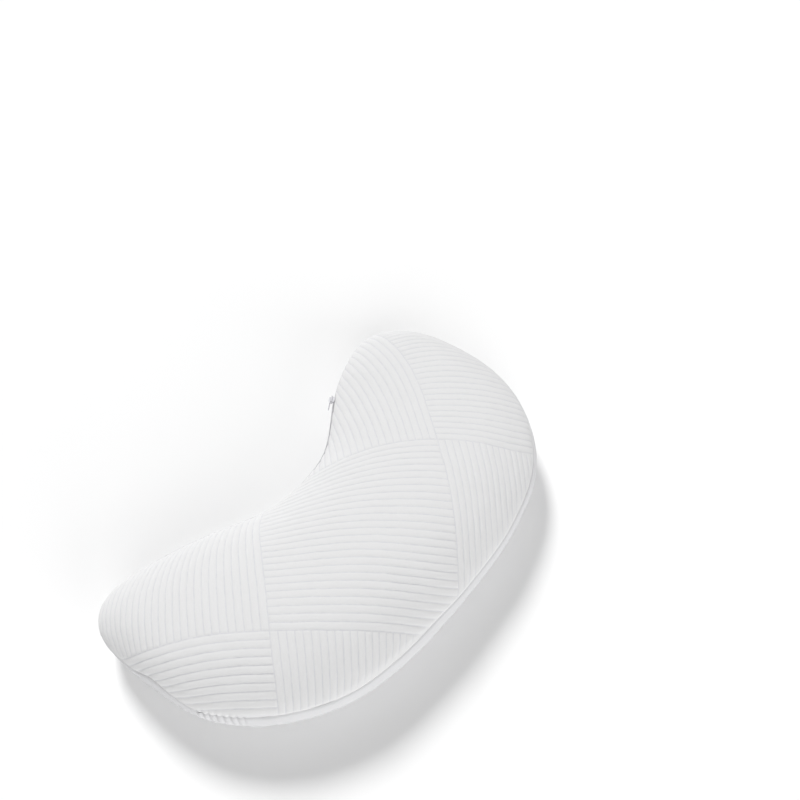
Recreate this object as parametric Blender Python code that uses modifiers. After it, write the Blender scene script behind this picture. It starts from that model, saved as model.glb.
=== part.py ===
"""Crescent body pillow, lying on its flattened underside.

Two panels of cloth are sewn into it: a plain knit base round the underside and the sides, and
a ribbed knit panel over the crown. They meet in a side seam at the pillow's widest line, and
a coil zip lies in that seam along the hollow edge. The base and its fill are one filled solid.

Frame: +X from one arm to the other, +Y out of the hollow side, +Z up. The origin is on the
floor, below the middle of the outline's box. Sizes are in millimetres until a mesh is made.
"""
from collections import namedtuple
from math import atan2, pi, radians

import bmesh
import bpy
import numpy as np

METRES = 0.001

# ---- the filled form -------------------------------------------------------------------------
# A row for each section across the crescent, from one arm's tip to the other. Each section
# runs straight from a point of the inner, hollow edge to a point of the outer edge. crown is
# its height above the side seam, and seam is the seam's height above the floor.
Section = namedtuple("Section", "inner_x inner_y outer_x outer_y crown seam")
SECTIONS = (
    Section(-275, 142, -275, 142, 0, 43),
    Section(-252, 166, -282, 104, 23, 44),
    Section(-217, 167, -282, 50, 44, 45),
    Section(-176, 154, -272, -14, 56, 46),
    Section(-117, 127, -224, -88, 65, 46),
    Section(-60, 95, -129, -145, 71, 45),
    Section(-12, 81, 5, -167, 73, 44),
    Section(51, 82, 125, -166, 70, 44),
    Section(106, 111, 216, -132, 63, 45),
    Section(152, 133, 272, -57, 56, 47),
    Section(194, 143, 282, 20, 45, 46),
    Section(220, 143, 272, 84, 23, 45),
    Section(245, 126, 245, 126, 0, 44),
)
LAST = len(SECTIONS) - 1
CROWN_POWER = 0.69          # 0.5 is a round crown, 1 a pointed one
BELLY_POWER = 2.8           # 2 is a round edge, more is boxier
EDGE_ROUND = 60.0           # the underside curves in this far from the seam, then lies flat

# ---- cloth and zip ---------------------------------------------------------------------------
GAP = 0.3                   # between any two pieces
PANEL_THICK = 3.0           # ribbed knit with its wadding
PANEL_EASE = 0.6            # between the ribbed panel's inner skin and the fill
CHAIN_TALL = 4.4
CHAIN_THICK = 2.4
CHAIN_CORNER = 0.6
CHAIN_SINK = 0.6            # the chain's face lies this far inside the seam line
ZIP_START = 3.0             # in section numbers along the hollow edge
ZIP_END = 8.25
SLOT_END = 8.5

SLIDER_EASE = 0.6                  # from the chain's end to the slider
SLIDER_CORE = (7.6, 3.8, 4.0)      # along the zip, out of the pillow, up
SLIDER_PLATE = (9.0, 1.7, 6.8)
PLATE_PROUD = 0.9
PLATE_EDGE = 0.4
ARCH = (6.4, 2.6, 1.2)             # the arch that holds the pull
ARCH_BAR = 1.0
ARCH_POST = 1.2
SLIDER_JOIN = 0.4                  # the core and the arch reach this far into the plate
PULL = (16.0, 1.0, 5.0)
PULL_EDGE = 0.3
PULL_WINDOW = (3.8, 2.4)           # along the pull, across it
PULL_BAR = 1.5                     # the bar of the pull that lies under the arch

# ---- how fine the meshes are -----------------------------------------------------------------
SECTION_STEPS = 4                  # stations between two rows of SECTIONS
CROWN_TURNS = 18
BELLY_TURNS = 8                    # from the seam in to the flat, on each side
FIRST_TURN = radians(12)           # from the seam to the crown's first line of points
MERGE_WITHIN = 0.00001             # metres
SHARP_EDGE = radians(50)

WHITE_KNIT = (0.80, 0.80, 0.82, 1.0)
WHITE_RIB = (0.84, 0.84, 0.85, 1.0)
WHITE_NYLON = (0.74, 0.74, 0.78, 1.0)


def clear_scene():
    for old in list(bpy.data.objects):
        bpy.data.objects.remove(old, do_unlink=True)


def collection(name):
    made = bpy.data.collections.new(name)
    bpy.context.scene.collection.children.link(made)
    return made


def material(name, colour, roughness, metallic=0.0):
    made = bpy.data.materials.new(name)
    made.use_nodes = True
    shader = made.node_tree.nodes["Principled BSDF"]
    shader.inputs["Base Color"].default_value = colour
    shader.inputs["Roughness"].default_value = roughness
    shader.inputs["Metallic"].default_value = metallic
    return made


# ---- the form's surface ----------------------------------------------------------------------
def smooth_loop(values, places):
    """Points of the closed cubic curve through values, which lie one unit of place apart."""
    count = len(values)
    row = np.zeros(count)
    row[0], row[1], row[-1] = 4 / 6, 1 / 6, 1 / 6
    blend = np.array([np.roll(row, shift) for shift in range(count)])
    control = np.linalg.solve(blend, values)
    places = np.mod(places, count)
    first = np.floor(places).astype(int)
    part = places - first
    weights = (
        (1 - part) ** 3 / 6,
        (3 * part**3 - 6 * part**2 + 4) / 6,
        (-3 * part**3 + 3 * part**2 + 3 * part + 1) / 6,
        part**3 / 6,
    )
    total = 0
    for step, weight in enumerate(weights):
        near = control[(first - 1 + step) % count]
        total = total + (weight[:, None] * near if near.ndim > 1 else weight * near)
    return total


def frames(places):
    """Inner edge, outer edge, crown and seam heights at these places along the crescent."""
    rows = np.array(SECTIONS, dtype=float)
    back = rows[-2:0:-1]
    edge = np.vstack([rows[:, 0:2], back[:, 2:4]])
    inner = smooth_loop(edge, places)
    outer = smooth_loop(edge, 2 * LAST - places)
    crown = smooth_loop(np.concatenate([rows[:, 4], -back[:, 4]]), places)
    seam = smooth_loop(np.concatenate([rows[:, 5], back[:, 5]]), places)
    return inner, outer, np.maximum(crown, 0), seam


def crown_points(places, turns):
    """The crown at each place: turn 0 is the inner seam, pi the outer one."""
    inner, outer, crown, seam = frames(places)
    middle = (inner + outer) / 2
    half = (inner - outer) / 2
    turns = np.broadcast_to(turns, (len(places), np.shape(turns)[-1]))
    points = np.zeros(turns.shape + (3,))
    points[..., :2] = middle[:, None] + half[:, None] * np.cos(turns)[..., None]
    rise = np.sin(turns).clip(0, 1) ** (2 * CROWN_POWER)
    points[..., 2] = seam[:, None] + crown[:, None] * rise
    return points


def belly_points(places):
    """The underside at each place, from the outer seam in to the flat and out to the inner seam."""
    inner, outer, _, seam = frames(places)
    middle = (inner + outer) / 2
    half = (inner - outer) / 2
    tips = (middle[0], middle[-1])
    from_tip = np.min([np.linalg.norm(middle - tip, axis=1) for tip in tips], axis=0)
    curled = 1 - (from_tip / EDGE_ROUND).clip(0, 1)
    depth = seam * (1 - curled**BELLY_POWER) ** (1 / BELLY_POWER)
    flat = 1 - EDGE_ROUND / np.linalg.norm(half, axis=1).clip(EDGE_ROUND, None)
    turns = np.linspace(0, pi / 2, BELLY_TURNS + 1)
    curve = np.cos(turns).clip(0, 1) ** (2 / BELLY_POWER)
    reach = flat[:, None] + (1 - flat[:, None]) * curve
    drop = depth[:, None] * np.sin(turns) ** (2 / BELLY_POWER)
    across = np.hstack([reach, -reach[:, ::-1]])
    points = np.zeros(across.shape + (3,))
    points[..., :2] = middle[:, None] - half[:, None] * across[..., None]
    points[..., 2] = seam[:, None] - np.hstack([drop, drop[:, ::-1]])
    return points


def crown_normals(places, turns):
    """Outward unit normals of crown_points, level along the two seam edges and at the tips."""
    turn_step, place_step = 0.02, 0.05
    turns = np.broadcast_to(turns, (len(places), np.shape(turns)[-1]))
    low, high = (turns - turn_step).clip(0, pi), (turns + turn_step).clip(0, pi)
    round_way = crown_points(places, high) - crown_points(places, low)
    before, after = (places - place_step).clip(0, LAST), (places + place_step).clip(0, LAST)
    along_way = crown_points(after, turns) - crown_points(before, turns)
    normals = np.cross(round_way, along_way)
    normals[:, 0, 2] = 0
    normals[:, -1, 2] = 0
    inner, outer, _, _ = frames(np.array([0, place_step, LAST - place_step, LAST]))
    middle = (inner + outer) / 2
    for end, out in ((0, middle[0] - middle[1]), (-1, middle[3] - middle[2])):
        if places[end] in (0, LAST):
            normals[end] = (out[0], out[1], 0)
    return normals / np.linalg.norm(normals, axis=-1, keepdims=True)


def stations():
    return np.linspace(0, LAST, LAST * SECTION_STEPS + 1)


def crown_turns(first):
    """Turns from the inner seam edge to the outer one, with first the turn of the inner edge."""
    inside = np.linspace(FIRST_TURN, pi - FIRST_TURN, CROWN_TURNS - 1)
    inside = np.broadcast_to(inside, (len(first), len(inside)))
    return np.hstack([first[:, None], inside, np.full((len(first), 1), pi)])


# ---- meshes ----------------------------------------------------------------------------------
def object_from(name, points, faces, group, finish):
    """One closed mesh object, its repeated points merged and its faces turned outwards."""
    shape = bmesh.new()
    corners = [shape.verts.new(point) for point in np.asarray(points) * METRES]
    for face in faces:
        shape.faces.new([corners[index] for index in face])
    bmesh.ops.remove_doubles(shape, verts=shape.verts, dist=MERGE_WITHIN)
    bmesh.ops.recalc_face_normals(shape, faces=shape.faces)
    mesh = bpy.data.meshes.new(name)
    shape.to_mesh(mesh)
    shape.free()
    mesh.materials.append(finish)
    mesh.shade_smooth()
    mesh.set_sharp_from_angle(angle=SHARP_EDGE)
    made = bpy.data.objects.new(name, mesh)
    group.objects.link(made)
    return made


def loft(rings, capped=False):
    """Corner points and triangles of a tube through closed rings of equally many points."""
    rings = np.asarray(rings)
    count, size = rings.shape[:2]
    faces = []
    for ring in range(count - 1):
        for corner in range(size):
            beside = (corner + 1) % size
            a, b = ring * size + corner, ring * size + beside
            c, d = b + size, a + size
            faces += [(a, b, c), (a, c, d)]
    if capped:
        faces.append(tuple(range(size)))
        faces.append(tuple(range((count - 1) * size, count * size)))
    return rings.reshape(-1, 3), faces


def filled_base(group):
    """Base panel and fill: full size below the seam, and a panel's thickness less above it."""
    places = stations()
    turns = crown_turns(np.zeros(len(places)))
    inset = PANEL_THICK + PANEL_EASE
    crown = crown_points(places, turns) - inset * crown_normals(places, turns)
    points, faces = loft(np.concatenate([crown, belly_points(places)], axis=1))
    finish = material("plain_knit", WHITE_KNIT, 0.9)
    return object_from("plain_base", points, faces, group, finish)


def edge_lift(places):
    """Height of the ribbed panel's inner edge above the seam: it clears the zip where that is."""
    slot = 2 * GAP + CHAIN_TALL
    in_zip = (places >= ZIP_START) & (places <= SLOT_END)
    return np.where(in_zip, slot, GAP)


def ribbed_panel(group):
    """The shaped cloth over the crown, one skin a panel's thickness inside the other."""
    places = stations()
    crown = frames(places)[2]
    lift = edge_lift(places)
    first = np.arcsin((lift / np.maximum(crown, lift)) ** (0.5 / CROWN_POWER))
    first[crown <= lift] = 0
    turns = crown_turns(first)
    outside = crown_points(places, turns)
    outside[crown <= lift, :, 2] += GAP
    outside[crown > lift, -1, 2] += GAP
    inside = outside - PANEL_THICK * crown_normals(places, turns)
    points, faces = loft(np.concatenate([outside, inside[:, ::-1]], axis=1))
    finish = material("ribbed_knit", WHITE_RIB, 0.9)
    return object_from("ribbed_top", points, faces, group, finish)


# ---- zip -------------------------------------------------------------------------------------
def seam_line(places):
    """Points of the inner seam edge, and the level unit normals out of it."""
    edge = crown_points(places, np.array([0.0, pi]))[:, 0]
    out = crown_normals(places, np.array([0.0, pi]))[:, 0]
    return edge, out


def zip_chain(group):
    """Two rows of coil on their tape, closed: a flat band with rounded edges in the seam."""
    places = stations()
    places = places[(places >= ZIP_START) & (places <= ZIP_END)]
    edge, out = seam_line(places)
    half_thick, half_tall, corner = CHAIN_THICK / 2, CHAIN_TALL / 2, CHAIN_CORNER
    profile = (
        (half_thick, half_tall - corner), (half_thick - corner, half_tall),
        (corner - half_thick, half_tall), (-half_thick, half_tall - corner),
        (-half_thick, corner - half_tall), (corner - half_thick, -half_tall),
        (half_thick - corner, -half_tall), (half_thick, corner - half_tall),
    )
    rings = np.zeros((len(places), len(profile), 3))
    for index, (outward, up) in enumerate(profile):
        depth = CHAIN_SINK + half_thick - outward
        rings[:, index] = edge - depth * out
        rings[:, index, 2] += GAP + half_tall + up
    points, faces = loft(rings, capped=True)
    finish = material("zip_coil", WHITE_NYLON, 0.45)
    return object_from("zip_chain", points, faces, group, finish)


def block(name, size, centre, group, round_edge=0.0):
    """A box with its size, centre and rounded edges in millimetres."""
    bpy.ops.mesh.primitive_cube_add(size=1.0)
    made = bpy.context.active_object
    made.name = name
    for point in made.data.vertices:
        spread = np.array(point.co) * np.array(size) + np.array(centre)
        point.co = spread * METRES
    for held in list(made.users_collection):
        held.objects.unlink(made)
    group.objects.link(made)
    if round_edge:
        bevel = made.modifiers.new("rounded", "BEVEL")
        bevel.width = round_edge * METRES
        bevel.segments = 2
    return made


def combine(target, other, how):
    """Keep other as a guide, and join it to target or cut it out of target."""
    step = target.modifiers.new(other.name, "BOOLEAN")
    step.operation = how
    step.object = other
    other.hide_render = True
    other.display_type = "WIRE"


def at_slider(pieces):
    """Place pieces at the slider: local X along the zip, Y out of the pillow, Z up."""
    places = np.array([ZIP_END, SLOT_END])
    edge, out = seam_line(places)
    way = (edge[1] - edge[0]) / np.linalg.norm(edge[1] - edge[0])
    spot = edge[0] + way * (SLIDER_EASE + SLIDER_CORE[0] / 2)
    for piece in pieces:
        piece.location = spot * METRES
        piece.rotation_euler = (0, 0, atan2(way[1], way[0]))


def zip_slider(group, guides):
    """The slider's core in the slot, its plate outside, and the arch that holds the pull."""
    middle = GAP + CHAIN_TALL / 2
    core_out = PLATE_PROUD + SLIDER_JOIN
    plate_out = PLATE_PROUD + SLIDER_PLATE[1]
    plate = block("zip_slider", SLIDER_PLATE, (0, plate_out - SLIDER_PLATE[1] / 2, middle),
                  group, PLATE_EDGE)
    core = block("slider_core", SLIDER_CORE, (0, core_out - SLIDER_CORE[1] / 2, middle), guides)
    arch_size = (ARCH[0], ARCH[1] + SLIDER_JOIN, ARCH[2])
    arch_middle = plate_out + (ARCH[1] - SLIDER_JOIN) / 2
    arch = block("slider_arch", arch_size, (0, arch_middle, middle), guides)
    window_size = (ARCH[0] - 2 * ARCH_POST, ARCH[1] - ARCH_BAR, 2 * ARCH[2])
    window = block("arch_window", window_size,
                   (0, plate_out + window_size[1] / 2, middle), guides)
    combine(plate, core, "UNION")
    combine(plate, arch, "UNION")
    combine(plate, window, "DIFFERENCE")
    plate.data.materials.append(material("zip_metal", WHITE_NYLON, 0.35))
    return [plate, core, arch, window]


def zip_pull(group, guides):
    """The pull: a tab whose end bar lies under the slider's arch, pointing along the zip."""
    middle = GAP + CHAIN_TALL / 2
    low = PLATE_PROUD + SLIDER_PLATE[1] + GAP
    tip = PULL_BAR / 2
    tab = block("zip_pull", PULL, (tip - PULL[0] / 2, low + PULL[1] / 2, middle), group,
                PULL_EDGE)
    window_size = (PULL_WINDOW[0], 3 * PULL[1], PULL_WINDOW[1])
    window = block("pull_window", window_size,
                   (tip - PULL_BAR - PULL_WINDOW[0] / 2, low + PULL[1] / 2, middle), guides)
    combine(tab, window, "DIFFERENCE")
    tab.data.materials.append(material("pull_tab", WHITE_NYLON, 0.5))
    return [tab, window]


def main():
    clear_scene()
    pillow = collection("body_pillow")
    guides = collection("guides")
    filled_base(pillow)
    ribbed_panel(pillow)
    zip_chain(pillow)
    at_slider(zip_slider(pillow, guides) + zip_pull(pillow, guides))


main()
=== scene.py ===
"""Crescent body pillow on a white floor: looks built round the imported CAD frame, in metres, +Z up.

The crown is ribbed quilted knit in squares, the underside plain knit, with a zip in the hollow seam.
"""
import math

import bmesh
import bpy
import numpy as np
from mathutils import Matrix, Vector, kdtree, noise
from mathutils.bvhtree import BVHTree
from mathutils.geometry import barycentric_transform


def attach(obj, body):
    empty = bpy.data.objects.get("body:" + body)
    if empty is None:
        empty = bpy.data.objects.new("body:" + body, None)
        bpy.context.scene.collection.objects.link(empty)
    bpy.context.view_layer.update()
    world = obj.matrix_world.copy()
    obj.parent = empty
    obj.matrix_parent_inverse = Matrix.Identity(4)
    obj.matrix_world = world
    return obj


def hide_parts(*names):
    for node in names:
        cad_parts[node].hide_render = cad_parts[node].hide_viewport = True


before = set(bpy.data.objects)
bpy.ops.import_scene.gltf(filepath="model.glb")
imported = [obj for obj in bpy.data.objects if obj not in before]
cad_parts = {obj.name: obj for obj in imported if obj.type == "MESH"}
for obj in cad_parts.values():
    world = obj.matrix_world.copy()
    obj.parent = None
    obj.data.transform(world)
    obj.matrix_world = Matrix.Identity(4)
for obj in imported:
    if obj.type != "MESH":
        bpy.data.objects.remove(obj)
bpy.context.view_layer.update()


# ---- Camera, floor and light ----
# The photograph's view from above the left arm, on a white studio floor: one wide soft light from the
# top of the picture, two low soft ones from the bottom, and a pale fill all round.

photo_width = 800
picture_top = 54.09
camera_data = bpy.data.cameras.new("camera")
camera_data.lens = 40.19
camera_data.sensor_width = 36.0
camera = bpy.data.objects.new("camera", camera_data)
camera.location = (-0.3063, -0.2977, 1.0498)
camera.rotation_euler = (math.radians(90 - 59.43), 0.0, math.radians(-picture_top))
bpy.context.collection.objects.link(camera)
bpy.context.scene.camera = camera

floor_mesh = bpy.data.meshes.new("floor")
floor_mesh.from_pydata([(-6, -6, 0), (6, -6, 0), (6, 6, 0), (-6, 6, 0)], [], [(0, 1, 2, 3)])
floor = bpy.data.objects.new("floor", floor_mesh)
bpy.context.collection.objects.link(floor)

floor_material = bpy.data.materials.new("floor")
floor_material.use_nodes = True
floor_shader = floor_material.node_tree.nodes["Principled BSDF"]
floor_shader.inputs["Base Color"].default_value = (0.95, 0.95, 0.95, 1)
floor_shader.inputs["Roughness"].default_value = 0.9
floor_shader.inputs["Specular IOR Level"].default_value = 0.0
floor.data.materials.append(floor_material)


def soft_light(name, bearing, height, strength, spread):
    """Add a distant light at this bearing, clockwise from +Y, and height; all angles are in degrees."""
    data = bpy.data.lights.new(name, "SUN")
    data.energy = strength
    data.angle = math.radians(spread)
    light = bpy.data.objects.new(name, data)
    level = math.cos(math.radians(height))
    towards = Vector((
        level * math.sin(math.radians(bearing)),
        level * math.cos(math.radians(bearing)),
        math.sin(math.radians(height)),
    ))
    light.rotation_euler = towards.to_track_quat("Z", "Y").to_euler()
    bpy.context.collection.objects.link(light)


soft_light("key", picture_top - 24, 40, 2.52, 15)
soft_light("low fill", picture_top + 132, 15, 1.15, 40)
soft_light("front fill", picture_top + 180, 30, 0.95, 40)

world = bpy.data.worlds.new("studio")
world.use_nodes = True
world.node_tree.nodes["Background"].inputs["Color"].default_value = (1.0, 1.0, 1.0, 1)
world.node_tree.nodes["Background"].inputs["Strength"].default_value = 0.31
bpy.context.scene.world = world
bpy.context.scene.view_settings.view_transform = "Standard"


# ---- The filled form ----
# What the fill gives the pillow: sections from one tip round the bend to the other, domed above the
# widest line and boxier below it, flat where it rests. They repeat the CAD part's, which come from a
# fit to the photograph's outline, rounded to whole millimetres. Both panels are laid on this form.

mm = 0.001
sections = np.array([
    # inner edge x, y, outer edge x, y, crown above the widest line, widest line above the floor
    (-275, 142, -275, 142, 0, 43),
    (-252, 166, -282, 104, 23, 44),
    (-217, 167, -282, 50, 44, 45),
    (-176, 154, -272, -14, 56, 46),
    (-117, 127, -224, -88, 65, 46),
    (-60, 95, -129, -145, 71, 45),
    (-12, 81, 5, -167, 73, 44),
    (51, 82, 125, -166, 70, 44),
    (106, 111, 216, -132, 63, 45),
    (152, 133, 272, -57, 56, 47),
    (194, 143, 282, 20, 45, 46),
    (220, 143, 272, 84, 23, 45),
    (245, 126, 245, 126, 0, 44),
]) * mm
last_place = len(sections) - 1
crown_power = 1.38
belly_power = 2.8
edge_round = 60 * mm


def smooth_loop(values, places):
    """Points of the closed cubic curve through values, which lie one unit of place apart."""
    count = len(values)
    row = np.zeros(count)
    row[0], row[1], row[-1] = 4 / 6, 1 / 6, 1 / 6
    control = np.linalg.solve(np.array([np.roll(row, shift) for shift in range(count)]), values)
    places = np.mod(places, count)
    first = np.floor(places).astype(int)
    part = places - first
    weights = (
        (1 - part) ** 3 / 6,
        (3 * part**3 - 6 * part**2 + 4) / 6,
        (-3 * part**3 + 3 * part**2 + 3 * part + 1) / 6,
        part**3 / 6,
    )
    total = 0
    for step, weight in enumerate(weights):
        total = total + weight[:, None] * control[(first - 1 + step) % count]
    return total


def there_and_back(values):
    """Values of the sections in order and back again, as smooth_loop wants them."""
    values = np.asarray(values, dtype=float)
    return np.append(values, values[-2:0:-1])[:, None]


def form_points(places, turns):
    """Points of the form: turn 0 is the inner edge, pi the outer one, and below 0 lies the underside."""
    back = sections[-2:0:-1]
    edge = np.vstack([sections[:, :2], back[:, 2:4]])
    heights = np.vstack([sections[:, 4:], back[:, 4:] * [-1, 1]])
    inner = smooth_loop(edge, places)
    outer = smooth_loop(edge, 2 * last_place - places)
    crown, widest = smooth_loop(heights, places).T
    middle = (inner + outer) / 2
    half = (inner - outer) / 2
    up = np.sin(turns)
    across = np.cos(turns)

    dome = np.maximum(crown, 0) * np.maximum(up, 0) ** crown_power
    tips = np.minimum(
        np.linalg.norm(middle - sections[0, :2], axis=1),
        np.linalg.norm(middle - sections[-1, :2], axis=1),
    )
    curled = 1 - np.minimum(tips / edge_round, 1)
    depth = widest * (1 - curled**belly_power) ** (1 / belly_power)
    belly = depth * np.maximum(-up, 0) ** (2 / belly_power)
    flat = 1 - edge_round / np.maximum(np.linalg.norm(half, axis=1), edge_round)
    boxy = np.sign(across) * (flat + (1 - flat) * np.abs(across) ** (2 / belly_power))
    across = np.where(up < -1e-9, boxy, across)
    return np.column_stack([middle + half * across[:, None], widest + dome - belly])


def mesh_object(name, points, faces):
    """A new object of these points and faces, in the scene."""
    made = bpy.data.meshes.new(name)
    made.from_pydata(np.asarray(points).tolist(), [], [list(face) for face in faces])
    made.update()
    piece = bpy.data.objects.new(name, made)
    bpy.context.collection.objects.link(piece)
    return piece


def grid_faces(rows, columns, closed=False):
    """Quads of a grid of points that are numbered row by row; closed joins its last column to its first."""
    faces = []
    for row in range(rows - 1):
        for column in range(columns if closed else columns - 1):
            after = (column + 1) % columns
            faces.append((
                row * columns + column,
                row * columns + after,
                (row + 1) * columns + after,
                (row + 1) * columns + column,
            ))
    return faces


# ---- Side seam ----
# The two panels are sewn together all round. The seam lies on the widest line along the hollow, where
# the zip holds it open, and a finger's width above that line round the outer side. It is slightly
# gathered, and gapes a little where the ribbed panel overhangs it.

# Points of the outer seam read off the photograph, in pixels, from the left arm to the right.
seam_pixels = [
    (129, 667), (148, 676), (162, 689), (176, 700), (191, 710), (215, 716), (243, 718), (273, 717),
    (311, 709), (343, 698), (440, 617), (465, 591), (496, 551),
]
tip_seam_degrees = 6
hidden_seam_degrees = 15
hidden_first = 8
hidden_last = 10
seam_ease = 0.15
hollow_seam_degrees = 3
zip_slot_degrees = 6
base_zip_degrees = 1
base_shut_degrees = 4.5
zip_first = 3.0
zip_last = 8.5
slot_ease = 0.1
radian_of_crown = 0.85
least_radian = 12 * mm
seam_gaps = np.array([
    # place along the pillow, gap in millimetres; below 0 the base panel is tucked under the ribbed one
    (0, -0.6), (1.3, -0.6), (1.45, 0.4), (1.95, 0.5), (2.1, 1.0), (2.3, 1.0), (2.4, 0.2), (2.5, -0.6),
    (2.82, -0.6), (2.9, 1.0), (3.0, 0.8), (3.08, -0.6), (3.68, -0.6), (3.75, 0.5), (3.88, 0.3),
    (3.95, -0.6), (4.25, -0.6), (4.32, 0.5), (4.5, 0.6), (4.6, -0.6), (12, -0.6),
])
gather_first = 2.8
gather_last = 3.65
gather_length = 8 * mm
gather_depth = 1.8 * mm
gather_ease = 0.15
gather_middle = 0.6
broad_lump = 0.9 * mm
broad_lump_size = 55 * mm
small_lump = 0.35 * mm
small_lump_size = 16 * mm
lumps_from_floor = 30 * mm
seam_dip = 0.3 * mm
seam_dip_width = 1.5 * mm
tuck = 1.3 * mm
tuck_width = 1.8 * mm

outer_count = 600
outer_steps = np.linspace(0, last_place, outer_count)
outer_line = form_points(outer_steps, np.full(outer_count, math.pi))
outer_run = np.append(0, np.cumsum(np.linalg.norm(np.diff(outer_line, axis=0), axis=1)))


def smooth_step(value):
    """0 below 0, 1 above 1, and an S curve between them."""
    value = np.clip(value, 0, 1)
    return value * value * (3 - 2 * value)


def inside_triangle(faces, values, points, index, spot):
    """values at a spot of face number index, whose corners lie at points."""
    corners = faces[index]
    axes = [Vector((1, 0, 0)), Vector((0, 1, 0)), Vector((0, 0, 1))]
    best = None
    for three in ((0, 1, 2), (0, 2, 3)):
        where = [Vector(points[corners[k]]).to_3d() for k in three]
        what = [Vector(values[corners[k]]).to_3d() for k in three]
        weight = barycentric_transform(spot, *where, *axes)
        if best is None or min(weight) > best[0]:
            best = (min(weight), barycentric_transform(spot, *where, *what))
    return best[1]


def under_pixel(x, y, tree, faces, values, points):
    """values where a pixel of the photograph meets the surface in tree, or None beside it."""
    focal = camera_data.lens / camera_data.sensor_width * photo_width
    sight = Vector((x - photo_width / 2, photo_width / 2 - y, -focal)).normalized()
    sight.rotate(camera.rotation_euler)
    spot, _, index, _ = tree.ray_cast(camera.location, sight)
    if spot is None:
        return None
    return inside_triangle(faces, values, points, index, spot)[:2]


near_rows = 360
near_columns = 60
near_places = np.repeat(np.linspace(0.2, hidden_first, near_rows), near_columns)
near_turns = np.tile(np.linspace(math.pi / 2, math.pi, near_columns), near_rows)
near_values = np.column_stack([near_places, near_turns])
near_points = form_points(near_places, near_turns)
near_faces = grid_faces(near_rows, near_columns)
near_tree = BVHTree.FromPolygons(near_points.tolist(), near_faces)
seam_marks = [(0, math.radians(tip_seam_degrees))]
for x, y in seam_pixels:
    seen = under_pixel(x, y, near_tree, near_faces, near_values, near_points)
    if seen is not None:
        seam_marks.append((seen[0], math.pi - seen[1]))
seam_marks += [(place, math.radians(hidden_seam_degrees)) for place in (hidden_first, hidden_last)]
seam_marks.append((last_place, math.radians(tip_seam_degrees)))
seam_marks = np.array(seam_marks)


def slot_open(places):
    """1 where the zip holds the hollow seam open, 0 where it is sewn shut."""
    return smooth_step(np.minimum(places - zip_first, zip_last - places) / slot_ease + 0.5)


def seam_turns(places):
    """How far above the widest line the ribbed panel ends at the hollow and at the outer side."""
    hollow = np.radians(hollow_seam_degrees + zip_slot_degrees * slot_open(places))
    shifts = np.linspace(-seam_ease, seam_ease, 5)
    outer = np.mean([np.interp(places + shift, *seam_marks.T) for shift in shifts], axis=0)
    return hollow, outer


def base_turns(places):
    """How far above the widest line the base panel ends at the hollow and at the outer side."""
    _, outer = seam_turns(places)
    crown = smooth_loop(there_and_back(sections[:, 4]), places)[:, 0]
    a_radian = np.maximum(radian_of_crown * crown, least_radian)
    gap = np.interp(places, *seam_gaps.T) * mm
    hollow = np.radians(base_zip_degrees + base_shut_degrees * (1 - slot_open(places)))
    return hollow, np.maximum(outer - gap / a_radian, 0.01)


def noise_at(points, size, seed):
    """Smooth noise between about -1 and 1, its lumps about size across."""
    scaled = np.asarray(points) / size + seed
    return np.array([noise.noise(Vector(point)) for point in scaled])


def gathers(places, from_seam, reach):
    """How far the cloth stands out where its stitches draw the outer seam together."""
    run = np.interp(places, outer_steps, outer_run)
    near = np.exp(-(from_seam / reach) ** 2)
    window = smooth_step(np.minimum(places - gather_first, gather_last - places) / gather_ease)
    folds = np.abs(np.cos(math.pi * run / gather_length)) - gather_middle
    return gather_depth * window * near * folds


def unevenness(points):
    """The small unevenness of cloth over loose fill, less of it near the floor."""
    above = smooth_step(points[:, 2] / lumps_from_floor)
    broad = broad_lump * noise_at(points, broad_lump_size, 3.1)
    small = small_lump * noise_at(points, small_lump_size, 7.7)
    return above * (broad + small)


# ---- Swelling of the fill ----
# A cloth simulation with air pressure puffs the form between its pinned seam and the floor, so the
# fabric swells a little unevenly. Every piece takes the swelling of the spot that it lies on.

swell_inset = 1.5 * mm
swell_cap = 4.0 * mm
swell_pressure = 4.0
swell_frames = 20
swell_neighbours = 8
voxel = 5.0 * mm
pin_width = 9.0 * mm
inset_width = 30.0 * mm
loop_rows = 121
loop_columns = 96
seam_count = 400


def eased(count, ends):
    """count steps from 0 to 1, closer together at both ends; ends 0 is even, 1 fully eased."""
    even = np.linspace(0, 1, count)
    return (1 - ends) * even + ends * (1 - np.cos(math.pi * even)) / 2


def along_pillow(count, margin, ends):
    """count places along the pillow, from margin past one tip to margin before the other."""
    return margin + (last_place - 2 * margin) * eased(count, ends)


def close_ends(piece):
    """Fill the open ends of a piece and turn its faces outwards."""
    closed = bmesh.new()
    closed.from_mesh(piece.data)
    bmesh.ops.holes_fill(closed, edges=closed.edges, sides=0)
    bmesh.ops.recalc_face_normals(closed, faces=closed.faces)
    closed.to_mesh(piece.data)
    closed.free()


def spot_tree(points):
    """A tree that finds the nearest of these points."""
    spots = kdtree.KDTree(len(points))
    for number, point in enumerate(points):
        spots.insert(point, number)
    spots.balance()
    return spots


loop_places = np.repeat(along_pillow(loop_rows, 0.02, 0.6), loop_columns)
loop_turns = np.tile(np.linspace(-math.pi, math.pi, loop_columns, endpoint=False), loop_rows)
seam_places = np.linspace(0, last_place, seam_count)
hollow_rise, outer_rise = seam_turns(seam_places)
seam_line = np.vstack([
    form_points(seam_places, hollow_rise),
    form_points(seam_places, math.pi - outer_rise),
])

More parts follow.
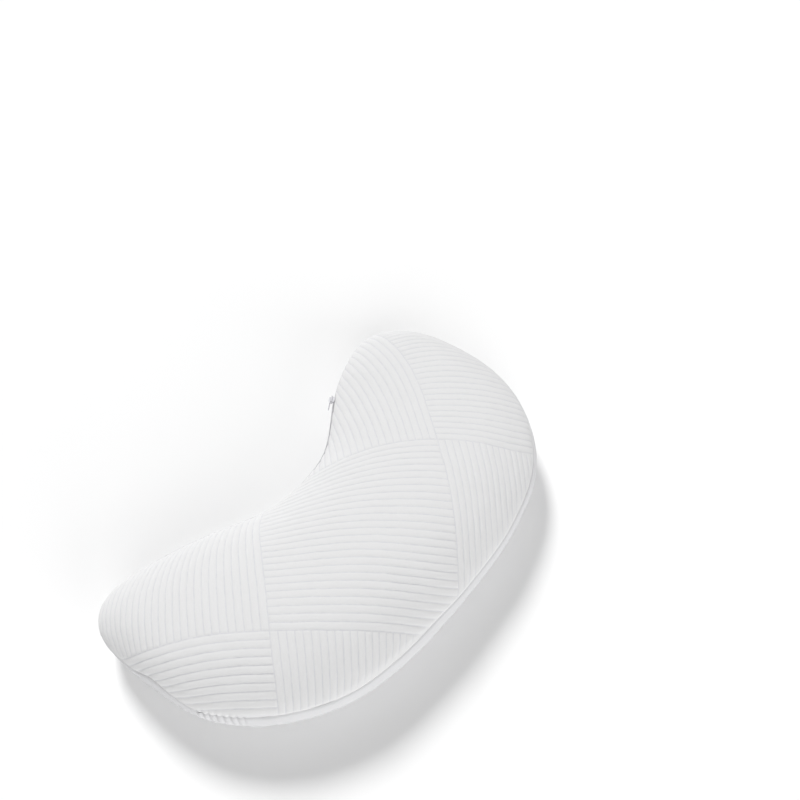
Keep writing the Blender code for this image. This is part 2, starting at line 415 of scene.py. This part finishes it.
swell_spots = None
swell_moves = np.zeros((0, 3))
bag = mesh_object("bag", form_points(loop_places, loop_turns), grid_faces(loop_rows, loop_columns, True))
close_ends(bag)
bpy.context.view_layer.objects.active = bag
remesh = bag.modifiers.new("remesh", "REMESH")
remesh.mode = "VOXEL"
remesh.voxel_size = voxel
bpy.ops.object.modifier_apply(modifier=remesh.name)

seam_spots = spot_tree(seam_line)
before = np.array([vertex.co for vertex in bag.data.vertices])
outward = np.array([vertex.normal for vertex in bag.data.vertices])
to_seam = np.array([seam_spots.find(point)[2] for point in before])
inset = swell_inset * smooth_step((to_seam - pin_width) / inset_width)
inset *= smooth_step(before[:, 2] / inset_width)
pinned = bag.vertex_groups.new(name="pinned")
for number, point in enumerate(before):
    bag.data.vertices[number].co = point - inset[number] * outward[number]
    if to_seam[number] < pin_width or point[2] < voxel / 2:
        pinned.add([number], 1.0, "REPLACE")
cloth = bag.modifiers.new("cloth", "CLOTH")
cloth.settings.vertex_group_mass = pinned.name
cloth.settings.use_pressure = True
cloth.settings.uniform_pressure_force = swell_pressure
cloth.settings.effector_weights.gravity = 0.0
for moment in range(1, swell_frames + 1):
    bpy.context.scene.frame_set(moment)
puffed = bag.evaluated_get(bpy.context.evaluated_depsgraph_get())
after = np.array([vertex.co for vertex in puffed.data.vertices])
bpy.context.scene.frame_set(1)
swell_moves = after - before
length = np.linalg.norm(swell_moves, axis=1, keepdims=True)
swell_moves *= np.minimum(1, swell_cap / np.maximum(length, 1e-9))
swell_spots = spot_tree(before)
bpy.data.objects.remove(bag, do_unlink=True)


def swollen(points):
    """Points of the form moved by the swelling round them, and never below the floor."""
    points = np.array(points, dtype=float)
    if len(swell_moves) == 0:
        return points
    for number, point in enumerate(points.copy()):
        near = swell_spots.find_n(point, swell_neighbours)
        weights = np.array([1 / (distance**2 + voxel**2 / 4) for _, _, distance in near])
        moves = swell_moves[[index for _, index, _ in near]]
        points[number] += weights @ moves / weights.sum()
    points[:, 2] = np.maximum(points[:, 2], 0)
    return points


# ---- Lay of the squared cloth ----
# The crown is flattened with as little stretch as can be, as a cutter would, and that flat pattern is
# then eased so that the cloth's squares and ribs cross the crown where the photograph shows them.

ribs_a_square = 26
rib = 9 * mm
square = ribs_a_square * rib
lay_rows = 121
lay_columns = 61

# Points read off enlarged crops of the photograph, in pixels. Square lines: the two upright ones
# and the two level ones.
left_line = [(259, 521), (261, 547), (266, 589), (269, 632), (273, 664), (277, 697), (279, 712)]
right_line = [(409, 363), (415, 376), (422, 391), (428, 411), (437, 439), (447, 474), (454, 512), (456, 531)]
lower_line = [(123, 661), (144, 652), (169, 644), (192, 638), (221, 633), (269, 631), (329, 630), (393, 632)]
upper_line = [(353, 454), (372, 447), (391, 443), (411, 440), (437, 439), (455, 439), (474, 441), (512, 451)]
# Grooves between ribs, each with its count from the corner where the lower and left lines cross. First
# those counted across the upright ribs, then those counted up the level ribs.
upright_grooves = [
    (227, 622, -5), (187, 622, -10), (151, 622, -15), (132, 622, -18), (224, 569, -5), (187, 569, -10),
    (313, 646, 5), (351, 646, 10), (386, 646, 15),
    (480, 473, 31), (509, 473, 36), (484, 497, 31), (485, 520, 31), (496, 520, 33), (398, 430, 21),
]
level_grooves = [
    (272, 591, 5), (272, 557, 10), (368, 588, 5), (368, 549, 10), (393, 513, 15), (393, 478, 20),
    (425, 594, 5), (425, 554, 10), (448, 411, 31),
    (267, 674, -5), (267, 708, -9), (202, 679, -5), (202, 703, -8), (164, 687, -5), (138, 671, -2),
]
upright_marks = [(x, y, 0) for x, y in left_line] + [(x, y, ribs_a_square) for x, y in right_line]
level_marks = [(x, y, 0) for x, y in lower_line] + [(x, y, ribs_a_square) for x, y in upper_line]
upright_marks += upright_grooves
level_marks += level_grooves
mark_softness = 0.001

lay_stations = along_pillow(lay_rows, 0.01, 0.5)
hollow_rise, outer_rise = seam_turns(lay_stations)
lay_places = np.repeat(lay_stations, lay_columns)
lay_turns = np.linspace(hollow_rise, math.pi - outer_rise, lay_columns, axis=1).ravel()
lay_faces = grid_faces(lay_rows, lay_columns)
lay_points = swollen(form_points(lay_places, lay_turns))
crown = mesh_object("crown", lay_points, lay_faces)
crown.select_set(True)
bpy.context.view_layer.objects.active = crown
crown.data.uv_layers.new(name="flat")
bpy.ops.object.mode_set(mode="EDIT")
bpy.ops.mesh.select_all(action="SELECT")
bpy.ops.uv.unwrap(method="MINIMUM_STRETCH", margin=0, correct_aspect=False)
bpy.ops.object.mode_set(mode="OBJECT")
flat = np.zeros((len(lay_points), 2))
for loop, corner in zip(crown.data.loops, crown.data.uv_layers["flat"].data):
    flat[loop.vertex_index] = corner.uv
bpy.data.objects.remove(crown, do_unlink=True)
crown_tree = BVHTree.FromPolygons(lay_points.tolist(), lay_faces)


def thin_plate(marks, wanted, places):
    """wanted at marks, carried over smoothly to places, as a thin plate bends."""
    def bend(one, other):
        squared = ((one[:, None] - other[None]) ** 2).sum(-1)
        return 0.5 * squared * np.log(np.maximum(squared, 1e-12))

    def level(spots):
        return np.column_stack([np.ones(len(spots)), spots])

    count = len(marks)
    stiffness = bend(marks, marks) + mark_softness * np.eye(count)
    system = np.block([[stiffness, level(marks)], [level(marks).T, np.zeros((3, 3))]])
    solved = np.linalg.solve(system, np.append(wanted, (0, 0, 0)))
    return bend(places, marks) @ solved[:count] + level(places) @ solved[count:]


cloth_lay = np.zeros_like(flat)
for axis, marks in enumerate((upright_marks, level_marks)):
    seen = []
    for x, y, count in marks:
        spot = under_pixel(x, y, crown_tree, lay_faces, flat, lay_points)
        if spot is not None:
            seen.append((spot, count))
    spots = np.array([spot for spot, count in seen])
    counts = np.array([count for spot, count in seen], dtype=float)
    cloth_lay[:, axis] = thin_plate(spots, counts * rib, flat)


# ---- Ribbed panel ----
# Quilted knit over the crown: squares of soft ribs that turn a quarter from each to the next. It is cut
# at the side seam, where it thins to a flat band, dips into the seam and is turned in. The grooves
# between the ribs are painted darker, a lilac tint with painted shade, and close up the cloth shows rows of
# fine stitches.

steps_a_rib = 6
step = rib / steps_a_rib
steps_a_square = ribs_a_square * steps_a_rib
rib_depth = 0.8 * mm
hem_depth = 0.5 * mm
wobble = 0.4 * mm
wobble_size = 14 * mm
fullness_share = 0.35
fullness_size = 22 * mm
cloth_grain = 0.14 * mm
grain_size = 3.2 * mm
rib_gather_reach = 4 * mm
edge_step = 0.4 * mm
hollow_band = 3
flat_bands = np.array([
    # place along the pillow, how far from the seam the ribs fade out in millimetres
    (0, 24), (0.7, 22), (1.1, 8), (1.4, 3), (4.5, 3), (4.9, 11), (5.3, 11), (5.7, 3), (10.6, 3),
    (11.3, 22), (12, 24),
])

lay_tree = BVHTree.FromPolygons([(u, v, 0) for u, v in cloth_lay], lay_faces)
lay_place_turn = np.column_stack([lay_places, lay_turns])
first_u, first_v = np.floor(cloth_lay.min(axis=0) / step).astype(int)
last_u, last_v = np.ceil(cloth_lay.max(axis=0) / step).astype(int)
threads = np.array([(u, v) for u in range(first_u, last_u + 1) for v in range(first_v, last_v + 1)])
on_cloth = np.zeros(len(threads), dtype=bool)
place_turn = np.zeros((len(threads), 2))
for number, (u, v) in enumerate(threads):
    astray = noise.noise_vector(Vector((u * step, v * step, 0)) / wobble_size) * wobble
    spot, _, index, distance = lay_tree.find_nearest((u * step + astray.x, v * step + astray.y, 0))
    if distance < step:
        place_turn[number] = inside_triangle(lay_faces, lay_place_turn, cloth_lay, index, spot)[:2]
        on_cloth[number] = distance < 1e-6
faces = np.array(grid_faces(last_u - first_u + 1, last_v - first_v + 1))
faces = faces[on_cloth[faces].sum(axis=1) >= 3]
kept, faces = np.unique(faces, return_inverse=True)
faces = faces.reshape(-1, 4)
threads = threads[kept]
place_turn = place_turn[kept]

# The outermost points move out to the cloth's cut edge.
numbers = np.arange(lay_rows * lay_columns).reshape(lay_rows, lay_columns)
around = np.concatenate([numbers[0], numbers[1:, -1], numbers[-1, -2::-1], numbers[-2::-1, 0]])
edge_known = np.column_stack([cloth_lay, lay_place_turn])[around]
edge_run = np.append(0, np.cumsum(np.linalg.norm(np.diff(edge_known[:, :2], axis=0), axis=1)))
edge_steps = np.linspace(0, edge_run[-1], int(edge_run[-1] / edge_step))
edge = np.column_stack([np.interp(edge_steps, edge_run, column) for column in edge_known.T])
edge_spots = spot_tree([(u, v, 0) for u, v in edge[:, :2]])
nearest = [edge_spots.find((u * step, v * step, 0)) for u, v in threads]
from_edge = np.array([distance for _, _, distance in nearest])
sides = np.sort(np.vstack([faces[:, [k, (k + 1) % 4]] for k in range(4)]), axis=1)
sides, uses = np.unique(sides, axis=0, return_counts=True)
outermost = np.unique(sides[uses == 1])
place_turn[outermost] = edge[[nearest[number][1] for number in outermost], 2:]
from_edge[outermost] = 0

cloth_uv = threads / steps_a_square
ribbed_points = swollen(form_points(*place_turn.T))
ribbed = mesh_object("ribbed_panel", ribbed_points, faces)
outward = np.array([vertex.normal for vertex in ribbed.data.vertices])
if outward[:, 2].mean() < 0:
    ribbed.data.flip_normals()
    outward = -outward
odd_square = np.floor(cloth_uv).sum(axis=1) % 2 == 1
across_ribs = np.where(odd_square, threads[:, 0], threads[:, 1]) % steps_a_rib / steps_a_rib
round_rib = np.sqrt(1 - np.abs(2 * across_ribs - 1) ** 3)
round_rib[(threads % steps_a_square == 0).any(axis=1)] = 0
outer_side = place_turn[:, 1] > math.pi / 2
flat_band = np.where(outer_side, np.interp(place_turn[:, 0], *flat_bands.T), hollow_band) * mm
band = smooth_step(from_edge / flat_band)
flat_threads = np.column_stack([threads * step, np.zeros(len(threads))])
fullness = 1 + fullness_share * noise_at(flat_threads, fullness_size, 1.3)
lift = rib_depth * (fullness * round_rib * band - 1)
lift -= seam_dip * np.exp(-(from_edge / seam_dip_width) ** 2)
lift += np.where(outer_side, gathers(place_turn[:, 0], from_edge, rib_gather_reach), 0)
lift += unevenness(ribbed_points)
lift += band * cloth_grain * noise_at(ribbed_points, grain_size, 4.4)
for vertex, move in zip(ribbed.data.vertices, lift[:, None] * outward):
    vertex.co += Vector(move)

hem = bmesh.new()
hem.from_mesh(ribbed.data)
hem.verts.ensure_lookup_table()
cut_edges = [side for side in hem.edges if side.is_boundary]
before_hem = len(hem.verts)
turned_in = bmesh.ops.extrude_edge_only(hem, edges=cut_edges)["geom"]
hem.verts.index_update()
cut_point = list(range(before_hem))
for vertex in [item for item in turned_in if isinstance(item, bmesh.types.BMVert)]:
    partner = min(side.other_vert(vertex).index for side in vertex.link_edges)
    cut_point.append(partner)
    vertex.co -= Vector(outward[partner]) * hem_depth
hem.to_mesh(ribbed.data)
hem.free()

corner_points = np.zeros(len(ribbed.data.loops), dtype=int)
ribbed.data.loops.foreach_get("vertex_index", corner_points)
uv_layer = ribbed.data.uv_layers.new(name="cloth")
uv_layer.data.foreach_set("uv", cloth_uv[np.array(cut_point)[corner_points]].ravel())
band_layer = ribbed.data.attributes.new("band", "FLOAT", "POINT")
band_layer.data.foreach_set("value", band[cut_point])
ribbed.data.shade_smooth()


def node(tree, kind, *inputs, **settings):
    """First output of a new node; each input is a socket to link, a value, or None to leave alone."""
    made = tree.nodes.new(kind)
    for name, value in settings.items():
        setattr(made, name, value)
    for number, value in enumerate(inputs):
        if isinstance(value, bpy.types.NodeSocket):
            tree.links.new(value, made.inputs[number])
        elif value is not None:
            made.inputs[number].default_value = value
    return made.outputs[0]


def sums(tree, operation, *inputs):
    """Result of a Math node."""
    return node(tree, "ShaderNodeMath", *inputs, operation=operation)


def near_whole(tree, value, reach):
    """1 where value is a whole number, falling to 0 at reach from it."""
    off = sums(tree, "PINGPONG", value, 0.5)
    return node(tree, "ShaderNodeMapRange", off, 0.0, reach, 1.0, 0.0, interpolation_type="SMOOTHSTEP")


def mixed(tree, share, one, other):
    """A colour between one and other, each a colour or a socket."""
    node(tree, "ShaderNodeMix", share, data_type="RGBA")
    mix = tree.nodes[-1]
    for number, colour in ((6, one), (7, other)):
        if isinstance(colour, bpy.types.NodeSocket):
            tree.links.new(colour, mix.inputs[number])
        else:
            mix.inputs[number].default_value = colour
    return mix.outputs[2]


def matt_material(name, colour, roughness):
    """A new matt material, its node tree and its shader node."""
    made = bpy.data.materials.new(name)
    made.use_nodes = True
    shader = made.node_tree.nodes["Principled BSDF"]
    shader.inputs["Base Color"].default_value = colour
    shader.inputs["Roughness"].default_value = roughness
    shader.inputs["Specular IOR Level"].default_value = 0.2
    return made, made.node_tree, shader


def map_parts(tree, uv_name):
    """The two coordinates of a UV map."""
    uv_node = tree.nodes.new("ShaderNodeUVMap")
    uv_node.uv_map = uv_name
    parts = tree.nodes.new("ShaderNodeSeparateXYZ")
    tree.links.new(uv_node.outputs["UV"], parts.inputs[0])
    return uv_node.outputs["UV"], parts.outputs["X"], parts.outputs["Y"]


def bumped(tree, shader, height, strength, distance):
    """Height as bump on the shader."""
    bump = tree.nodes.new("ShaderNodeBump")
    bump.inputs["Strength"].default_value = strength
    bump.inputs["Distance"].default_value = distance
    tree.links.new(height, bump.inputs["Height"])
    tree.links.new(bump.outputs["Normal"], shader.inputs["Normal"])


def stitched(tree, shader, uv, along, up, colour, wale, course):
    """Rows of fine stitches as bump, and a faint speckle in the colour; uv counts squares of the cloth."""
    speckle = node(tree, "ShaderNodeTexNoise", uv, None, square / speckle_size, 3.0)
    drift = sums(tree, "MULTIPLY", sums(tree, "SUBTRACT", speckle, 0.5), 1.5)
    waves = []
    for coordinate, size in ((along, wale), (up, course)):
        turns = sums(tree, "MULTIPLY", coordinate, math.tau * square / size)
        waves.append(sums(tree, "SINE", sums(tree, "ADD", turns, drift)))
    bumped(tree, shader, sums(tree, "MULTIPLY", *waves), 0.5, stitch_height)
    shade = node(tree, "ShaderNodeMapRange", speckle, 0.3, 0.7, 0.0, 0.045)
    tree.links.new(mixed(tree, shade, colour, thread_grey), shader.inputs["Base Color"])


thread_grey = (0.55, 0.55, 0.58, 1)
speckle_size = 2.2 * mm
stitch_height = 0.05 * mm
rib_white = (0.76, 0.76, 0.762, 1)
# Painted shade: the grooves are darkened towards this lilac grey, the cloth's lilac tint with painted shade
# in the recess.
groove_shade_lilac = (0.67, 0.67, 0.70, 1)
groove_share = 0.13
ribbed_material, tree, shader = matt_material("ribbed_knit", rib_white, 0.9)
uv, along_u, along_v = map_parts(tree, "cloth")
square_sum = sums(tree, "ADD", sums(tree, "FLOOR", along_u), sums(tree, "FLOOR", along_v))
upright = sums(tree, "FLOORED_MODULO", square_sum, 2.0)
level = sums(tree, "SUBTRACT", 1.0, upright)
across_u = sums(tree, "MULTIPLY", along_u, upright)
across = sums(tree, "ADD", across_u, sums(tree, "MULTIPLY", along_v, level))
# Painted shade in the grooves between ribs and along the lines between squares, only where the ribs stand up
# (band) and unevenly in patches.
groove_shade = near_whole(tree, sums(tree, "MULTIPLY", across, float(ribs_a_square)), groove_share)
for coordinate in (along_u, along_v):
    square_line_shade = near_whole(tree, coordinate, groove_share / ribs_a_square)
    groove_shade = sums(tree, "MAXIMUM", groove_shade, square_line_shade)
band_node = tree.nodes.new("ShaderNodeAttribute")
band_node.attribute_name = "band"
groove_shade = sums(tree, "MULTIPLY", groove_shade, band_node.outputs["Fac"])
patches = node(tree, "ShaderNodeTexNoise", uv, None, square / (7 * mm), 2.0)
groove_shade = sums(tree, "MULTIPLY", groove_shade, node(tree, "ShaderNodeMapRange", patches, 0.35, 0.65, 0.45, 1.0))
rib_colour = mixed(tree, groove_shade, rib_white, groove_shade_lilac)
stitched(tree, shader, uv, along_u, along_v, rib_colour, 1.2 * mm, 0.9 * mm)
ribbed.data.materials.append(ribbed_material)
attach(ribbed, "root")
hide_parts("ribbed_top")


# ---- Base panel ----
# Plain smooth jersey round the underside and up to the side seam, with the fill in it. It closes under
# the ribbed panel, dips into the seam and is slightly gathered along it.

base_rows = 330
gather_rows = 70
base_columns = 90
lid_columns = 16
lid_drop = 5 * mm
lid_drop_at_tips = 2.5 * mm
full_drop_crown = 20 * mm
base_gather_reach = 20 * mm

even_rows = along_pillow(base_rows, 0.005, 0.6)
close_rows = np.linspace(gather_first, gather_last, gather_rows)
base_stations = np.unique(np.concatenate([even_rows, close_rows]))
hollow_rise, outer_rise = base_turns(base_stations)
wrapped = eased(base_columns, 0.9)
under_turns = hollow_rise[:, None] - (math.pi + hollow_rise + outer_rise)[:, None] * wrapped
lid_turns = np.linspace(math.pi - outer_rise, hollow_rise, lid_columns, axis=1)
ring_turns = np.hstack([under_turns, lid_turns])
row_count, ring_count = ring_turns.shape
base_places = np.repeat(base_stations, ring_count)
base_points = swollen(form_points(base_places, ring_turns.ravel()))
base = mesh_object("base_panel", base_points, grid_faces(row_count, ring_count, True))
rings = base_points.reshape(row_count, ring_count, 3)
under_points = rings[:, :base_columns].reshape(-1, 3)
under_only = mesh_object("under", under_points, grid_faces(row_count, base_columns))
outward = np.zeros((row_count, ring_count, 3))
under_normals = np.array([vertex.normal for vertex in under_only.data.vertices])
outward[:, :base_columns] = under_normals.reshape(row_count, base_columns, 3)
bpy.data.objects.remove(under_only, do_unlink=True)
if outward[row_count // 2, base_columns // 2, 2] > 0:
    outward *= -1
crown_height = smooth_loop(there_and_back(sections[:, 4]), base_stations)[:, 0]
lid_dropped = np.interp(crown_height, (0, full_drop_crown), (lid_drop_at_tips, lid_drop))
from_hollow = np.linalg.norm(rings - rings[:, :1], axis=2)
from_outer = np.linalg.norm(rings - rings[:, base_columns - 1:base_columns], axis=2)
lift = -tuck * np.exp(-(np.minimum(from_hollow, from_outer) / tuck_width) ** 2)
lift += gathers(base_places, from_outer.ravel(), base_gather_reach).reshape(row_count, ring_count)
lift += unevenness(base_points).reshape(row_count, ring_count)
lift[:, base_columns:] = 0
moved = rings + lift[:, :, None] * outward
moved[:, base_columns:, 2] -= lid_dropped[:, None]
moved[:, :, 2] = np.maximum(moved[:, :, 2], 0)
base.data.vertices.foreach_set("co", moved.ravel())
close_ends(base)

# The jersey's own map: along the pillow's middle line, and round each section.
row_middles = rings[:, :base_columns].mean(axis=1)
row_run = np.append(0, np.cumsum(np.linalg.norm(np.diff(row_middles, axis=0), axis=1)))
along_jersey = np.repeat(row_run, ring_count).reshape(row_count, ring_count)
ring_steps = np.linalg.norm(np.diff(rings, axis=1, prepend=rings[:, :1]), axis=2)
round_jersey = np.cumsum(ring_steps, axis=1)
jersey_uv = np.stack([along_jersey, round_jersey], axis=2).reshape(-1, 2) / square
corner_points = np.zeros(len(base.data.loops), dtype=int)
base.data.loops.foreach_get("vertex_index", corner_points)
uv_layer = base.data.uv_layers.new(name="jersey")
uv_layer.data.foreach_set("uv", jersey_uv[corner_points].ravel())
base.data.shade_smooth()

plain_white = (0.71, 0.71, 0.72, 1)
plain_material, tree, shader = matt_material("plain_knit", plain_white, 0.9)
uv, along_u, along_v = map_parts(tree, "jersey")
stitched(tree, shader, uv, along_u, along_v, plain_white, 1.0 * mm, 0.8 * mm)
base.data.materials.append(plain_material)
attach(base, "root")
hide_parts("plain_base")


# ---- Zip ----
# A closed nylon coil zip set in the hollow seam: two woven tapes whose coils mesh at the middle, an
# enamelled slider at the right arm's end, and its moulded pull.

chain_last = 8.25
chain_middle = 2.5 * mm
chain_sink = 0.7 * mm
tape_depth = 1.9 * mm
tape_thick = 0.5 * mm
tape_edges = ((-2.15 * mm, -0.1 * mm), (0.1 * mm, 2.15 * mm))
tape_steps = 260
tooth_pitch = 1.3 * mm
tooth_radius = 0.28 * mm
tooth_half = 0.9 * mm
tooth_off_middle = 0.6 * mm

chain_places = np.linspace(zip_first, chain_last, tape_steps)
chain_line = form_points(chain_places, np.zeros(tape_steps))
way = np.gradient(chain_line, axis=0)
way[:, 2] = 0
way /= np.linalg.norm(way, axis=1, keepdims=True)
out_of_pillow = np.column_stack([-way[:, 1], way[:, 0], np.zeros(tape_steps)])
up = np.array([0, 0, 1.0])


def zip_row(name, depth, thick, low_edge, high_edge):
    """A band that follows the hollow seam, its face this deep inside the seam line."""
    rings = []
    for inward, rise in ((0, low_edge), (thick, low_edge), (thick, high_edge), (0, high_edge)):
        rings.append(chain_line - (depth + inward) * out_of_pillow + (chain_middle + rise) * up)
    points = np.stack(rings, axis=1).reshape(-1, 3)
    strip = mesh_object(name, points, grid_faces(tape_steps, 4, True))
    close_ends(strip)
    return strip


tapes = [zip_row("tape", tape_depth, tape_thick, *edges) for edges in tape_edges]

# One tooth of the upper coil and one of the lower, half a pitch on: short rods with rounded ends.
tooth_rings = ((-1, 0.4), (-0.8, 1), (0.8, 1), (1, 0.4))
tooth_sides = 6
tooth = bmesh.new()
for side, start in ((1, 0), (-1, tooth_pitch / 2)):
    corners = []
    for along, wide in tooth_rings:
        for corner in range(tooth_sides):
            angle = 2 * math.pi * corner / tooth_sides
            corners.append(tooth.verts.new((
                start + tooth_radius * wide * math.cos(angle),
                tooth_radius * wide * math.sin(angle) - chain_sink - tooth_radius,
                side * tooth_off_middle + tooth_half * along,
            )))
    for quad in grid_faces(len(tooth_rings), tooth_sides, True):
        tooth.faces.new([corners[k] for k in quad])
    tooth.faces.new(corners[:tooth_sides])
    tooth.faces.new(corners[-tooth_sides:])
bmesh.ops.recalc_face_normals(tooth, faces=tooth.faces)
tooth_mesh = bpy.data.meshes.new("tooth")
tooth.to_mesh(tooth_mesh)
tooth.free()
tooth_object = bpy.data.objects.new("tooth", tooth_mesh)
bpy.context.collection.objects.link(tooth_object)

nylon_white = (0.72, 0.72, 0.74, 1)
coil_material, tree, shader = matt_material("zip_coil", nylon_white, 0.42)
shader.inputs["Specular IOR Level"].default_value = 0.45
place = tree.nodes.new("ShaderNodeTexCoord").outputs["Object"]
streak = node(tree, "ShaderNodeTexNoise", place, None, 1 / (1.5 * mm), 2.0)
shade = node(tree, "ShaderNodeMapRange", streak, 0.3, 0.7, 0.0, 0.12)
tree.links.new(mixed(tree, shade, nylon_white, thread_grey), shader.inputs["Base Color"])

tape_material, tree, shader = matt_material("zip_tape", nylon_white, 0.85)
place = tree.nodes.new("ShaderNodeTexCoord").outputs["Object"]
parts = tree.nodes.new("ShaderNodeSeparateXYZ")
tree.links.new(place, parts.inputs[0])
warp = sums(tree, "SINE", sums(tree, "MULTIPLY", parts.outputs["Z"], math.tau / (0.45 * mm)))
weft = sums(tree, "SINE", sums(tree, "MULTIPLY", parts.outputs["X"], math.tau / (0.6 * mm)))
weave = sums(tree, "MULTIPLY", warp, weft)
bumped(tree, shader, weave, 0.5, 0.1 * mm)
shade = node(tree, "ShaderNodeMapRange", weave, -1.0, 1.0, 0.0, 0.15)
tree.links.new(mixed(tree, shade, nylon_white, thread_grey), shader.inputs["Base Color"])

# Geometry Nodes set a pair of teeth at every pitch along the seam line, and add the tapes.
coil_tree = bpy.data.node_groups.new("coil along a path", "GeometryNodeTree")
coil_tree.interface.new_socket("Path", in_out="INPUT", socket_type="NodeSocketGeometry")
pitch_socket = coil_tree.interface.new_socket("Pitch", in_out="INPUT", socket_type="NodeSocketFloat")
tooth_socket = coil_tree.interface.new_socket("Tooth", in_out="INPUT", socket_type="NodeSocketObject")
coil_tree.interface.new_socket("Zip", in_out="OUTPUT", socket_type="NodeSocketGeometry")
given = coil_tree.nodes.new("NodeGroupInput")
path_curve = node(coil_tree, "GeometryNodeMeshToCurve", given.outputs["Path"])
stations = coil_tree.nodes.new("GeometryNodeResampleCurve")
stations.mode = "LENGTH"
coil_tree.links.new(path_curve, stations.inputs["Curve"])
coil_tree.links.new(given.outputs["Pitch"], stations.inputs["Length"])
tangent = node(coil_tree, "GeometryNodeInputTangent")
turned = node(coil_tree, "FunctionNodeAlignRotationToVector", None, None, tangent, axis="X", pivot_axis="Z")
teeth = coil_tree.nodes.new("GeometryNodeInstanceOnPoints")
tooth_info = coil_tree.nodes.new("GeometryNodeObjectInfo")
coil_tree.links.new(given.outputs["Tooth"], tooth_info.inputs["Object"])
coil_tree.links.new(stations.outputs["Curve"], teeth.inputs["Points"])
coil_tree.links.new(tooth_info.outputs["Geometry"], teeth.inputs["Instance"])
coil_tree.links.new(turned, teeth.inputs["Rotation"])
joined = coil_tree.nodes.new("GeometryNodeJoinGeometry")
coils = node(coil_tree, "GeometryNodeSetMaterial", teeth.outputs["Instances"], None, coil_material)
coil_tree.links.new(coils, joined.inputs["Geometry"])
for tape in tapes:
    tape_info = coil_tree.nodes.new("GeometryNodeObjectInfo")
    tape_info.inputs["Object"].default_value = tape
    woven = node(coil_tree, "GeometryNodeSetMaterial", tape_info.outputs["Geometry"], None, tape_material)
    coil_tree.links.new(woven, joined.inputs["Geometry"])
whole = node(coil_tree, "GeometryNodeRealizeInstances", joined.outputs["Geometry"])
result = coil_tree.nodes.new("NodeGroupOutput")
coil_tree.links.new(whole, result.inputs["Zip"])

path_mesh = bpy.data.meshes.new("zip path")
path_points = (chain_line + chain_middle * up).tolist()
path_edges = [(k, k + 1) for k in range(tape_steps - 1)]
path_mesh.from_pydata(path_points, path_edges, [])
zip_path = bpy.data.objects.new("zip path", path_mesh)
bpy.context.collection.objects.link(zip_path)
coiling = zip_path.modifiers.new("coil", "NODES")
coiling.node_group = coil_tree
coiling[pitch_socket.identifier] = tooth_pitch
coiling[tooth_socket.identifier] = tooth_object
settled = bpy.context.evaluated_depsgraph_get()
chain_mesh = bpy.data.meshes.new_from_object(zip_path.evaluated_get(settled), depsgraph=settled)
chain = bpy.data.objects.new("coil_and_tapes", chain_mesh)
bpy.context.collection.objects.link(chain)
for helper in [zip_path, tooth_object, *tapes]:
    bpy.data.objects.remove(helper, do_unlink=True)
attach(chain, "root")
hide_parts("zip_chain")

enamel_white = (0.74, 0.74, 0.77, 1)
enamel_grey = (0.6, 0.6, 0.62, 1)
for name, roughness in (("zip_slider", 0.3), ("zip_pull", 0.45)):
    hard_material, tree, shader = matt_material(name, enamel_white, roughness)
    shader.inputs["Specular IOR Level"].default_value = 0.5
    place = tree.nodes.new("ShaderNodeTexCoord").outputs["Object"]
    grain = node(tree, "ShaderNodeTexNoise", place, None, 1 / (0.8 * mm), 3.0)
    bumped(tree, shader, grain, 0.3, 0.05 * mm)
    shade = node(tree, "ShaderNodeMapRange", grain, 0.3, 0.7, 0.0, 0.1)
    tree.links.new(mixed(tree, shade, enamel_white, enamel_grey), shader.inputs["Base Color"])
    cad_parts[name].data.materials.clear()
    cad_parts[name].data.materials.append(hard_material)
